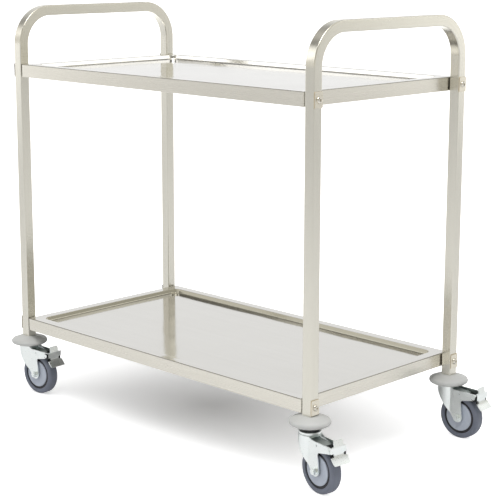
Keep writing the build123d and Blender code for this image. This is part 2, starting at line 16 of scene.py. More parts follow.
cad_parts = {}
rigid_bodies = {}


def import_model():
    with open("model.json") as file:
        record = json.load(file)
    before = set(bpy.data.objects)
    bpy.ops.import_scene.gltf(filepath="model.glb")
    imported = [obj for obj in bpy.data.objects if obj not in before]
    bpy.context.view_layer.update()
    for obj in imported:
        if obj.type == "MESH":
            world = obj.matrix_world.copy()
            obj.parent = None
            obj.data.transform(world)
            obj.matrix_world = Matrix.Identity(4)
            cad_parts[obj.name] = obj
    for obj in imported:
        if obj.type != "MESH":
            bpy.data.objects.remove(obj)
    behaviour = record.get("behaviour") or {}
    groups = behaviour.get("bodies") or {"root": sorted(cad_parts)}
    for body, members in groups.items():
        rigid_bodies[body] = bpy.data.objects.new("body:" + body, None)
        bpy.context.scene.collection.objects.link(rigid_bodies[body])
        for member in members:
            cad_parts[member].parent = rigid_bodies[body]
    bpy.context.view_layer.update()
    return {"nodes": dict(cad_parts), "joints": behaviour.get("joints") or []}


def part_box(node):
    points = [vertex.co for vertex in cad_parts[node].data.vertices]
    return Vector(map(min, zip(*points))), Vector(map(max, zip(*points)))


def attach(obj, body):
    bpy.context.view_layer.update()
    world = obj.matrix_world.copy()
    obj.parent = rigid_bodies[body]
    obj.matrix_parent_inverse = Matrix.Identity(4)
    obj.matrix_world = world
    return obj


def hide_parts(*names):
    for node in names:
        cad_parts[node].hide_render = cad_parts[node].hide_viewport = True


for default_object in list(bpy.data.objects):
    bpy.data.objects.remove(default_object)
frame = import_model()

LOG = logging.getLogger("trolley")
MM = 0.001
WELD = 1e-6
FLAT_ANGLE = 0.5
SHARP_ANGLE = 30.0
CORNERS = ("fl", "fr", "bl", "br")
GRAIN_MAP = "grain"
NOISE_MEAN = 0.5
BLACK = (0.0, 0.0, 0.0)
WHITE = (1.0, 1.0, 1.0)

Colour = tuple[float, float, float]
Place = tuple[float, float, float]
Pair = tuple[float, float]
Stops = tuple[tuple[float, float], ...]
Input = Union["Value", list["Value"], float, int, bool, str, Sequence[float], bpy.types.ID]


class Value:
    """An output socket that takes part in Python arithmetic."""

    def __init__(self, graph: "Graph", socket: bpy.types.NodeSocket) -> None:
        """Wrap one socket of a graph."""
        self.graph = graph
        self.socket = socket

    def _math(self, operation: str, left: Input, right: Input) -> "Value":
        """Add one Math node.

        Args:
            operation: the node's operation.
            left: first operand.
            right: second operand.

        Returns:
            The node's result.
        """
        return self.graph.node("ShaderNodeMath", {"operation": operation}, {0: left, 1: right})

    def __add__(self, other: Input) -> "Value":
        """Sum with a value or a number."""
        return self._math("ADD", self, other)

    def __radd__(self, other: Input) -> "Value":
        """Sum with a number on the left."""
        return self._math("ADD", other, self)

    def __sub__(self, other: Input) -> "Value":
        """Difference from a value or a number."""
        return self._math("SUBTRACT", self, other)

    def __rsub__(self, other: Input) -> "Value":
        """Number on the left minus this value."""
        return self._math("SUBTRACT", other, self)

    def __mul__(self, other: Input) -> "Value":
        """Product with a value or a number."""
        return self._math("MULTIPLY", self, other)

    def __rmul__(self, other: Input) -> "Value":
        """Product with a number on the left."""
        return self._math("MULTIPLY", other, self)

    def __truediv__(self, other: Input) -> "Value":
        """Quotient by a value or a number."""
        return self._math("DIVIDE", self, other)

    def __pow__(self, other: Input) -> "Value":
        """Power with a value or a number."""
        return self._math("POWER", self, other)

    def at_most(self, other: Input) -> "Value":
        """The smaller of this value and another."""
        return self._math("MINIMUM", self, other)

    def at_least(self, other: Input) -> "Value":
        """The larger of this value and another."""
        return self._math("MAXIMUM", self, other)

    def fade(self, start: float, width: float) -> "Value":
        """A ramp over this value.

        Args:
            start: where the ramp leaves 0.
            width: how far on it reaches 1; below zero it rises the other way.

        Returns:
            The ramp's level, from 0 to 1.
        """
        return ((self - start) / width).at_least(0.0).at_most(1.0)


class Graph:
    """A node tree that is written as Python expressions."""

    def __init__(self, tree: bpy.types.NodeTree) -> None:
        """Start from an empty tree."""
        self.tree = tree
        tree.nodes.clear()

    def node(
        self,
        kind: str,
        settings: Mapping[str, object] | None = None,
        inputs: Mapping[str | int, Input] | None = None,
        output: str | int = 0,
    ) -> Value | None:
        """Add a node, set it up and feed its sockets.

        Args:
            kind: the node's type.
            settings: properties that are set first; "stops" holds a ramp's places and colours.
            inputs: numbers, colours, values or a list of values, by socket name or index.
            output: the socket to return.

        Returns:
            The chosen output, or None for a node that has none.
        """
        made = self.tree.nodes.new(kind)
        for name, setting in (settings or {}).items():
            if name == "stops":
                self._set_stops(made.color_ramp, setting)
            else:
                setattr(made, name, setting)
        for key, value in (inputs or {}).items():
            self._feed(made.inputs[key], value)
        return Value(self, made.outputs[output]) if len(made.outputs) else None

    def _feed(self, socket: bpy.types.NodeSocket, value: Input) -> None:
        """Link a socket or set its own value.

        Args:
            socket: the input that is fed.
            value: a value, a list of values for a socket that takes several, or a constant.
        """
        sources = value if isinstance(value, list) else [value]
        for source in sources:
            if isinstance(source, Value):
                self.tree.links.new(source.socket, socket)
            else:
                socket.default_value = source

    @staticmethod
    def _set_stops(ramp: bpy.types.ColorRamp, stops: Sequence[tuple[float, Colour]]) -> None:
        """Give a ramp its places and colours.

        Args:
            ramp: a new ramp, with two elements.
            stops: places from 0 to 1 and their colours, in order.
        """
        while len(ramp.elements) < len(stops):
            ramp.elements.new(1.0)
        for element, (place, colour) in zip(ramp.elements, stops):
            element.position = place
            element.color = (*colour, 1.0)

    def noise(
        self, vector: Value, scale: float, detail: float = 2.0, roughness: float = 0.5
    ) -> Value:
        """Noise around 0.5 over a vector.

        Args:
            vector: where the noise is read.
            scale: features per unit of the vector.
            detail: octaves.
            roughness: weight of the finer octaves.

        Returns:
            The noise value.
        """
        return self.node(
            "ShaderNodeTexNoise",
            {},
            {"Vector": vector, "Scale": scale, "Detail": detail, "Roughness": roughness},
        )

    def bump(self, height: Value, distance: float, below: Value | None = None) -> Value:
        """A normal that follows a height.

        Args:
            height: the height, from 0 to 1.
            distance: what a height of 1 stands for, in metres.
            below: the normal that it is laid on, or None for the mesh's own.

        Returns:
            The normal.
        """
        inputs = {"Strength": 1.0, "Distance": distance, "Height": height}
        if below is not None:
            inputs["Normal"] = below
        return self.node("ShaderNodeBump", {}, inputs)

    def stretch(self, vector: Value, factors: Sequence[float]) -> Value:
        """A vector with each part multiplied by a factor."""
        return self.node("ShaderNodeVectorMath", {"operation": "MULTIPLY"}, {0: vector, 1: factors})

    def blend(self, factor: Input, first: Colour | Value, second: Colour | Value) -> Value:
        """Mix two colours.

        Args:
            factor: 0 gives the first colour and 1 the second.
            first: a colour or a value.
            second: a colour or a value.

        Returns:
            The mixed colour.
        """
        ends = [end if isinstance(end, Value) else (*end, 1.0) for end in (first, second)]
        return self.node(
            "ShaderNodeMix",
            {"data_type": "RGBA"},
            {"Factor": factor, 6: ends[0], 7: ends[1]},
            2,
        )


class Grain(Enum):
    """Where a finish reads its pattern."""

    WRAPPED = "the mesh's own map, with lengths along and across"
    SOLID = "the piece's own frame"


@dataclass(frozen=True)
class Finish(ABC):
    """A surface finish that becomes one material."""

    name: str
    _made: ClassVar[dict[str, bpy.types.Material]] = {}

    def material(self) -> bpy.types.Material:
        """The finish's material, made at its first use.

        Returns:
            The material that carries the finish's name.
        """
        if self.name not in self._made:
            made = bpy.data.materials.new(self.name)
            made.use_nodes = True
            graph = Graph(made.node_tree)
            graph.node("ShaderNodeOutputMaterial", {}, {"Surface": self.surface(graph)})
            self._made[self.name] = made
        return self._made[self.name]

    @abstractmethod
    def surface(self, graph: Graph) -> Value:
        """Build the shader.

        Args:
            graph: the material's empty tree.

        Returns:
            The shader's output.
        """

    @staticmethod
    def place(graph: Graph, grain: Grain) -> Value:
        """The coordinates that a pattern follows.

        Args:
            graph: the material's tree.
            grain: where the pattern is read.

        Returns:
            The coordinates.
        """
        if grain is Grain.WRAPPED:
            return graph.node("ShaderNodeUVMap", {"uv_map": GRAIN_MAP})
        return graph.node("ShaderNodeTexCoord", {}, {}, "Object")


@dataclass(frozen=True)
class BrushedSteel(Finish):
    """Stainless steel with a brushed grain along its length."""

    light: Colour
    dark: Colour
    grain: Grain = Grain.WRAPPED
    along: float = 5.0
    across: float = 1400.0
    band_along: float = 0.9
    band_across: float = 55.0
    streak_share: float = 0.45
    roughness: float = 0.30
    roughness_spread: float = 0.16
    streak_height: float = 0.00002
    ripple_scale: float = 0.0
    ripple_height: float = 0.0

    def surface(self, graph: Graph) -> Value:
        """Fine streaks and broad bands tint the metal, roughen it and cut its grain.

        Args:
            graph: the material's empty tree.

        Returns:
            The shader's output.
        """
        place = self.place(graph, self.grain)
        fine_place = graph.stretch(place, (self.along, self.across, self.across))
        fine = graph.noise(fine_place, scale=1.0, detail=3.0, roughness=0.6)
        band_place = graph.stretch(place, (self.band_along, self.band_across, self.band_across))
        band = graph.noise(band_place, scale=1.0)
        tone = self.streak_share * fine + (1 - self.streak_share) * band
        colour = graph.blend(tone, self.dark, self.light)
        rough = self.roughness + self.roughness_spread * (fine - NOISE_MEAN)
        normal = graph.bump(fine, self.streak_height)
        if self.ripple_height:
            ripple = graph.noise(place, self.ripple_scale, detail=1.0)
            normal = graph.bump(ripple, self.ripple_height, normal)
        return graph.node(
            "ShaderNodeBsdfPrincipled",
            {},
            {"Base Color": colour, "Metallic": 1.0, "Roughness": rough, "Normal": normal},
        )


@dataclass(frozen=True)
class PlatedSteel(Finish):
    """Bright plated steel with a faint spangle."""

    light: Colour
    dark: Colour
    roughness: float = 0.30
    roughness_spread: float = 0.20
    spangle_scale: float = 420.0
    cloud_scale: float = 45.0
    cloud_share: float = 0.7
    spangle_height: float = 0.00003

    def surface(self, graph: Graph) -> Value:
        """Clouds tint the plating and a fine spangle roughens it.

        Args:
            graph: the material's empty tree.

        Returns:
            The shader's output.
        """
        place = self.place(graph, Grain.SOLID)
        spangle = graph.noise(place, self.spangle_scale, detail=3.0, roughness=0.6)
        cloud = graph.noise(place, self.cloud_scale)
        tone = self.cloud_share * cloud + (1 - self.cloud_share) * spangle
        colour = graph.blend(tone, self.dark, self.light)
        rough = self.roughness + self.roughness_spread * (spangle - NOISE_MEAN)
        normal = graph.bump(spangle, self.spangle_height)
        return graph.node(
            "ShaderNodeBsdfPrincipled",
            {},
            {"Base Color": colour, "Metallic": 1.0, "Roughness": rough, "Normal": normal},
        )


@dataclass(frozen=True)
class Moulding(Finish):
    """Moulded rubber or plastic with a fine texture and a mottled tone."""

    light: Colour
    dark: Colour
    roughness: float = 0.5
    roughness_spread: float = 0.2
    texture_scale: float = 900.0
    mottle_scale: float = 60.0
    mottle_share: float = 0.75
    texture_height: float = 0.00004

    def surface(self, graph: Graph) -> Value:
        """A mottle tints the moulding and a fine texture roughens it.

        Args:
            graph: the material's empty tree.

        Returns:
            The shader's output.
        """
        place = self.place(graph, Grain.SOLID)
        texture = graph.noise(place, self.texture_scale, roughness=0.6)
        mottle = graph.noise(place, self.mottle_scale, detail=3.0, roughness=0.6)
        tone = self.mottle_share * mottle + (1 - self.mottle_share) * texture
        colour = graph.blend(tone, self.dark, self.light)
        rough = self.roughness + self.roughness_spread * (mottle - NOISE_MEAN)
        normal = graph.bump(texture, self.texture_height)
        return graph.node(
            "ShaderNodeBsdfPrincipled",
            {},
            {"Base Color": colour, "Roughness": rough, "Normal": normal},
        )


TUBE_STEEL = BrushedSteel(
    "tube_steel",
    light=(0.81, 0.79, 0.715),
    dark=(0.67, 0.65, 0.575),
    roughness=0.24,
    roughness_spread=0.14,
)
FLANGE_STEEL = BrushedSteel(
    "flange_steel", light=(0.81, 0.785, 0.715), dark=(0.71, 0.685, 0.615), roughness=0.28
)
TRAY_STEEL = BrushedSteel(
    "tray_steel",
    light=(0.685, 0.675, 0.645),
    dark=(0.605, 0.595, 0.565),
    roughness=0.11,
    roughness_spread=0.06,
    streak_height=0.000003,
    ripple_scale=5.0,
    ripple_height=0.0022,
)
PLATE_STEEL = BrushedSteel(
    "plate_steel",
    light=(0.82, 0.78, 0.68),
    dark=(0.70, 0.66, 0.56),
    grain=Grain.SOLID,
    along=900.0,
    across=900.0,
    band_along=60.0,
    band_across=60.0,
    roughness=0.28,
)
BOLT_STEEL = PlatedSteel(
    "bolt_steel", light=(0.80, 0.77, 0.70), dark=(0.62, 0.59, 0.52), roughness=0.22
)
# Painted light: a lighter copy of the tray steel for the upper tray's step, standing in for the
# bright backdrop it mirrors.
STEP_PAINTED_LIGHT = BrushedSteel(
    "step_painted_light",
    light=(0.87, 0.86, 0.83),
    dark=(0.79, 0.78, 0.75),
    roughness=0.12,
    roughness_spread=0.06,
)
# Painted shade: a darker, olive copy of the tray steel for the lower tray's step, under the upper
# shelf.
STEP_PAINTED_SHADE = BrushedSteel(
    "step_painted_shade",
    light=(0.62, 0.60, 0.515),
    dark=(0.53, 0.51, 0.43),
    roughness=0.14,
    roughness_spread=0.06,
)
# Painted shade: a dark copy of the flange steel on the fold at the rim's outer edge.
BEND_PAINTED_SHADE = BrushedSteel(
    "bend_painted_shade", light=(0.40, 0.388, 0.345), dark=(0.32, 0.31, 0.275), roughness=0.25
)
ZINC_PLATE = PlatedSteel("zinc_plate", light=(0.93, 0.965, 0.96), dark=(0.84, 0.885, 0.88))
BEARING_STEEL = PlatedSteel(
    "bearing_ground", light=(0.62, 0.63, 0.65), dark=(0.48, 0.49, 0.51), roughness=0.2
)
# Painted shade: a dark copy of the zinc plate on the faces inside the fork.
ZINC_PAINTED_SHADE = PlatedSteel(
    "zinc_painted_shade", light=(0.34, 0.38, 0.37), dark=(0.25, 0.285, 0.28), roughness=0.45
)
SHOE_STEEL = PlatedSteel(
    "shoe_steel", light=(0.56, 0.61, 0.595), dark=(0.43, 0.47, 0.46), roughness=0.42
)
# Painted shade: near-black on faces in the caster's gaps and inside the pedal.
GAP_PAINTED_SHADE = PlatedSteel(
    "gap_painted_shade", light=(0.045, 0.048, 0.048), dark=(0.022, 0.024, 0.024), roughness=0.6
)
# Painted shade: near-black on the spacers and on the plate edges at the left end.
EDGE_PAINTED_SHADE = PlatedSteel(
    "edge_painted_shade", light=(0.06, 0.052, 0.04), dark=(0.035, 0.03, 0.022), roughness=0.45
)
# Painted light: a lit, golden copy for the plate edges at the right end.
EDGE_PAINTED_LIGHT = PlatedSteel(
    "edge_painted_light", light=(0.62, 0.53, 0.36), dark=(0.48, 0.40, 0.27), roughness=0.35
)
BUMPER_RUBBER = Moulding("bumper_moulded", light=(0.575, 0.58, 0.565), dark=(0.50, 0.505, 0.49))
CAP_PLASTIC = Moulding(
    "cap_moulded", light=(0.05, 0.05, 0.052), dark=(0.03, 0.03, 0.032), roughness=0.45
)
TYRE_RUBBER = Moulding(
    "tyre_moulded",
    light=(0.178, 0.196, 0.246),
    dark=(0.130, 0.143, 0.181),
    roughness=0.52,
    texture_height=0.00006,
)
CORE_PLASTIC = Moulding(
    "core_plastic", light=(0.022, 0.022, 0.028), dark=(0.012, 0.012, 0.016), roughness=0.45
)
HUB_PLASTIC = Moulding(
    "hub_plastic",
    light=(0.50, 0.545, 0.625),
    dark=(0.42, 0.46, 0.535),
    roughness=0.42,
    mottle_scale=90.0,
)


class Combine(Enum):
    """What one shape does to another."""

    CUT = "DIFFERENCE"
    ADD = "UNION"


class Piece:
    """Ways to finish a mesh and hand it to the frame."""

    HONE_SEGMENTS = 2
    FLAT_WEIGHT = 100
    SKIN = 0.1 * MM
    EDGE_LEAN = 0.5

    @staticmethod
    def mesh_of(shape: bmesh.types.BMesh, name: str) -> bpy.types.Mesh:
        """Turn an edited shape into a mesh.

        Args:
            shape: the shape, which is freed.
            name: the mesh's name.

        Returns:
            The new mesh.
        """
        mesh = bpy.data.meshes.new(name)
        shape.to_mesh(mesh)
        shape.free()
        return mesh

    @staticmethod
    def from_mesh(name: str, mesh: bpy.types.Mesh) -> bpy.types.Object:
        """Put a mesh in the scene.

        Args:
            name: the piece's name.
            mesh: its mesh, already in place.

        Returns:
            The new object.
        """
        made = bpy.data.objects.new(name, mesh)
        bpy.context.scene.collection.objects.link(made)
        return made

    @staticmethod
    def settle(piece: bpy.types.Object) -> None:
        """Turn a piece's modifiers into a plain mesh.

        Args:
            piece: the piece, which keeps no modifier.
        """
        graph = bpy.context.evaluated_depsgraph_get()
        settled = bpy.data.meshes.new_from_object(piece.evaluated_get(graph))
        piece.modifiers.clear()
        piece.data = settled

    @classmethod
    def soften(cls, piece: bpy.types.Object, angle: float) -> None:
        """Shade a piece smooth, with broad faces kept flat.

        Args:
            piece: the piece.
            angle: edges sharper than this stay sharp, in degrees.
        """
        piece.data.shade_smooth()
        piece.data.set_sharp_from_angle(angle=math.radians(angle))
        flats = piece.modifiers.new("flats", "WEIGHTED_NORMAL")
        flats.keep_sharp = True
        flats.weight = cls.FLAT_WEIGHT
        cls.settle(piece)

    @staticmethod
    def hand_in(piece: bpy.types.Object, body: str, slot: str, *nodes: str) -> None:
        """Give a piece to the frame.

        Args:
            piece: the finished piece.
            body: the body that it moves with.
            slot: the record's material slot; not used.
            nodes: the nodes that it stands for.
        """
        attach(piece, body)
        if nodes:
            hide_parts(*nodes)
        LOG.info("%s rides on %s, %d faces", piece.name, body, len(piece.data.polygons))

    @staticmethod
    def dress(node: str, finish: Finish) -> None:
        """Give a node of the frame its finish.

        Args:
            node: the node's name.
            finish: what covers it.
        """
        for slot in frame["nodes"][node].material_slots:
            slot.material = finish.material()
        LOG.info("%s is dressed in %s", node, finish.name)

    @classmethod
    def copied(cls, node: str) -> bpy.types.Object:
        """A merged copy of a node, with its flat faces joined.

        Args:
            node: the node that is copied.

        Returns:
            The new piece.
        """
        shape = bmesh.new()
        shape.from_mesh(frame["nodes"][node].data)
        bmesh.ops.remove_doubles(shape, verts=shape.verts, dist=WELD)
        bmesh.ops.dissolve_limit(
            shape, angle_limit=math.radians(FLAT_ANGLE), verts=shape.verts, edges=shape.edges
        )
        return cls.from_mesh(f"{node}_honed", cls.mesh_of(shape, f"{node}_honed"))

    @staticmethod
    def split(
        piece: bpy.types.Object, spot: Vector, facing: Vector, shift: Vector | None = None
    ) -> None:
        """Split a piece's faces along a plane, in one mesh.

        Args:
            piece: what is split.
            spot: a spot on the plane.
            facing: the plane's normal.
            shift: how far the new points are moved, or None to leave them.
        """
        shape = bmesh.new()
        shape.from_mesh(piece.data)
        found = bmesh.ops.bisect_plane(
            shape,
            geom=[*shape.verts, *shape.edges, *shape.faces],
            dist=WELD,
            plane_co=spot,
            plane_no=facing,
        )
        if shift is not None:
            for part in found["geom_cut"]:
                if isinstance(part, bmesh.types.BMVert):
                    part.co += shift
        shape.to_mesh(piece.data)
        shape.free()

    @classmethod
    def combine(cls, piece: bpy.types.Object, tool: bpy.types.Mesh, way: Combine) -> None:
        """Cut a shape out of a piece or add it to the piece.

        Args:
            piece: what is changed.
            tool: the shape.
            way: whether it is taken away or added.
        """
        shape = cls.from_mesh("tool", tool)
        change = piece.modifiers.new("change", "BOOLEAN")
        change.operation = way.value
        change.object = shape
        cls.settle(piece)
        bpy.data.objects.remove(shape)

    @classmethod
    def hone(
        cls, piece: bpy.types.Object, finish: Finish, edge: float, angle: float = SHARP_ANGLE
    ) -> bpy.types.Object:
        """Round a piece's edges over.

        Args:
            piece: what is honed.
            finish: what covers it.
            edge: width of the rounding, in metres.
            angle: edges sharper than this are rounded, in degrees.

        Returns:
            The same piece.
        """
        rounding = piece.modifiers.new("rounding", "BEVEL")
        rounding.width = edge
        rounding.segments = cls.HONE_SEGMENTS
        rounding.limit_method = "ANGLE"
        rounding.angle_limit = math.radians(angle)
        rounding.use_clamp_overlap = True
        cls.settle(piece)
        return cls.cover(piece, finish, angle)

    @classmethod
    def cover(
        cls, piece: bpy.types.Object, finish: Finish, angle: float = SHARP_ANGLE
    ) -> bpy.types.Object:
        """Shade a piece and give it one finish.

        Args:
            piece: what is covered.
            finish: what covers it.
            angle: edges sharper than this stay sharp, in degrees.

        Returns:
            The same piece.
        """
        cls.soften(piece, angle)
        piece.data.materials.clear()
        piece.data.materials.append(finish.material())
        return piece

    @staticmethod
    def slot(piece: bpy.types.Object, finish: Finish) -> int:
        """The slot of a finish on a piece, added where there is none.

        Args:
            piece: what is dressed.
            finish: the finish that is wanted.

        Returns:
            The slot's number.
        """
        material = finish.material()
        if material.name not in piece.data.materials:
            piece.data.materials.append(material)
        return piece.data.materials.find(material.name)

    @staticmethod
    def paint_shade_inside(piece: bpy.types.Object, finish: Finish, reach: float) -> None:
        """Paint shade on the faces that look at the piece itself, in another finish.

        Args:
            piece: a hollow piece.
            finish: the painted shade that covers its inside.
            reach: how far a face looks, in metres.
        """
        mesh = piece.data
        slot = Piece.slot(piece, finish)
        tree = BVHTree.FromPolygons(
            [vertex.co for vertex in mesh.vertices], [face.vertices for face in mesh.polygons]
        )
        for face in mesh.polygons:
            start = face.center + face.normal * Piece.SKIN
            if tree.ray_cast(start, face.normal, reach)[0] is not None:
                face.material_index = slot

    @staticmethod
    def paint_edge_light_and_shade(piece: bpy.types.Object, left: Finish, right: Finish) -> None:
        """Give other finishes to the edges of plates that lie across the length: painted shade at
        one end and painted light at the other.

        Args:
            piece: the plates of both ends.
            left: what covers the edges at the left end, a painted shade.
            right: what covers the edges at the right end, a painted light.
        """
        slots = [Piece.slot(piece, finish) for finish in (left, right)]
        for face in piece.data.polygons:
            if abs(face.normal.x) < Piece.EDGE_LEAN:
                face.material_index = slots[0 if face.center.x < 0 else 1]


class Growth:
    """A geometry node tree that turns a seed mesh into a finished one."""

    def __init__(self, name: str) -> None:
        """Start a tree that takes a seed mesh and a material.

        Args:
            name: the tree's name.
        """
        self.tree = bpy.data.node_groups.new(name, "GeometryNodeTree")
        self.graph = Graph(self.tree)
        self.keys: dict[str, str] = {}
        self.add_input("Geometry", "NodeSocketGeometry")
        self.add_input("Finish", "NodeSocketMaterial")
        self.tree.interface.new_socket(
            "Geometry", in_out="OUTPUT", socket_type="NodeSocketGeometry"
        )

    def add_input(self, name: str, kind: str = "NodeSocketFloat") -> None:
        """Give the tree a named input.

        Args:
            name: the input's name.
            kind: the type of its socket.
        """
        socket = self.tree.interface.new_socket(name, in_out="INPUT", socket_type=kind)
        self.keys[name] = socket.identifier

    def given(self, name: str) -> Value:
        """The value of a named input."""
        return self.graph.node("NodeGroupInput", {}, {}, name)

    def close(self, shape: Value) -> None:
        """End the tree: no instances are left, and the finish is on.

        Args:
            shape: the geometry that the tree made.
        """
        real = self.graph.node("GeometryNodeRealizeInstances", {}, {"Geometry": shape})
        dressed = self.graph.node(
            "GeometryNodeSetMaterial", {}, {"Geometry": real, "Material": self.given("Finish")}
        )
        self.graph.node("NodeGroupOutput", {}, {"Geometry": dressed})

    def grow(
        self, name: str, seed: bpy.types.Mesh, finish: Finish, **sizes: float
    ) -> bpy.types.Object:
        """Run the tree on a seed mesh.

        Args:
            name: the piece's name.
            seed: the mesh that the tree starts from.
            finish: what covers the result.
            sizes: the tree's inputs, with their spaces written as underscores.

        Returns:
            The grown piece, as a plain mesh.
        """
        piece = Piece.from_mesh(name, seed)
        growth = piece.modifiers.new("growth", "NODES")
        growth.node_group = self.tree
        growth[self.keys["Finish"]] = finish.material()
        for size, value in sizes.items():
            growth[self.keys[size.replace("_", " ")]] = value
        Piece.settle(piece)
        piece.data.materials.clear()
        piece.data.materials.append(finish.material())
        return piece


@dataclass
class EndFrame:
    """One bent square tube: two legs and the push handle between them."""

    node: str
    bend_radius: float = 79 * MM
    corner: float = 2 * MM
    tube: float = 24 * MM
    smooth_angle: float = 40.0
    BEND_STEPS: ClassVar[int] = 28
    CORNER_STEPS: ClassVar[int] = 5

    @classmethod
    def sweep_tree(cls) -> Growth:
        """A tree that sweeps a rounded square along a filleted path, with the grain's map on it.

        Returns:
            The finished tree.
        """
        growth = Growth("tube_sweep")
        for name in ("Bend Radius", "Tube Size", "Tube Corner"):
            growth.add_input(name)
        graph = growth.graph
        path = graph.node("GeometryNodeMeshToCurve", {}, {"Mesh": growth.given("Geometry")})
        path = graph.node(
            "GeometryNodeFilletCurve",
            {"mode": "POLY"},
            {"Curve": path, "Count": cls.BEND_STEPS, "Radius": growth.given("Bend Radius")},
        )
        section = graph.node(
            "GeometryNodeCurvePrimitiveQuadrilateral",
            {"mode": "RECTANGLE"},
            {"Width": growth.given("Tube Size"), "Height": growth.given("Tube Size")},
        )
        section = graph.node(
            "GeometryNodeFilletCurve",
            {"mode": "POLY"},
            {"Curve": section, "Count": cls.CORNER_STEPS, "Radius": growth.given("Tube Corner")},
        )
        lines = []
        for line, name in ((path, "along"), (section, "around")):
            length = graph.node("GeometryNodeSplineParameter", {}, {}, "Length")
            lines.append(
                graph.node(
                    "GeometryNodeStoreNamedAttribute",
                    {"data_type": "FLOAT", "domain": "POINT"},
                    {"Geometry": line, "Name": name, "Value": length},
                )
            )
        tube = graph.node(
            "GeometryNodeCurveToMesh",
            {},
            {"Curve": lines[0], "Profile Curve": lines[1], "Fill Caps": True},
        )
        parts = [
            graph.node("GeometryNodeInputNamedAttribute", {"data_type": "FLOAT"}, {"Name": name})
            for name in ("along", "around")
        ]
        both = graph.node("ShaderNodeCombineXYZ", {}, {"X": parts[0], "Y": parts[1]})
        tube = graph.node(
            "GeometryNodeStoreNamedAttribute",
            {"data_type": "FLOAT2", "domain": "CORNER"},
            {"Geometry": tube, "Name": GRAIN_MAP, "Value": both},
        )
        growth.close(tube)
        return growth

    def build(self, growth: Growth) -> None:
        """Sweep the tube along the path that the node's box gives.

        Args:
            growth: the tree that sweeps it.
        """
        low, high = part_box(self.node)
        x = (low.x + high.x) / 2
        reach = high.y - self.tube / 2
        crest = high.z - self.tube / 2
        seed = bpy.data.meshes.new(f"{self.node}_path")
        corners = [(x, -reach, low.z), (x, -reach, crest), (x, reach, crest), (x, reach, low.z)]
        seed.from_pydata(corners, [(0, 1), (1, 2), (2, 3)], [])
        piece = growth.grow(
            f"{self.node}_tube",
            seed,
            TUBE_STEEL,
            Bend_Radius=self.bend_radius,
            Tube_Size=self.tube,
            Tube_Corner=self.corner,
        )
        Piece.soften(piece, self.smooth_angle)
        Piece.hand_in(piece, "cart", "stainless_tube", self.node)


class Zone(Enum):
    """The zones of a pressed shelf, by their slot."""

    FLANGE = 0
    TRAY = 1
    STEP = 2
    BEND = 3


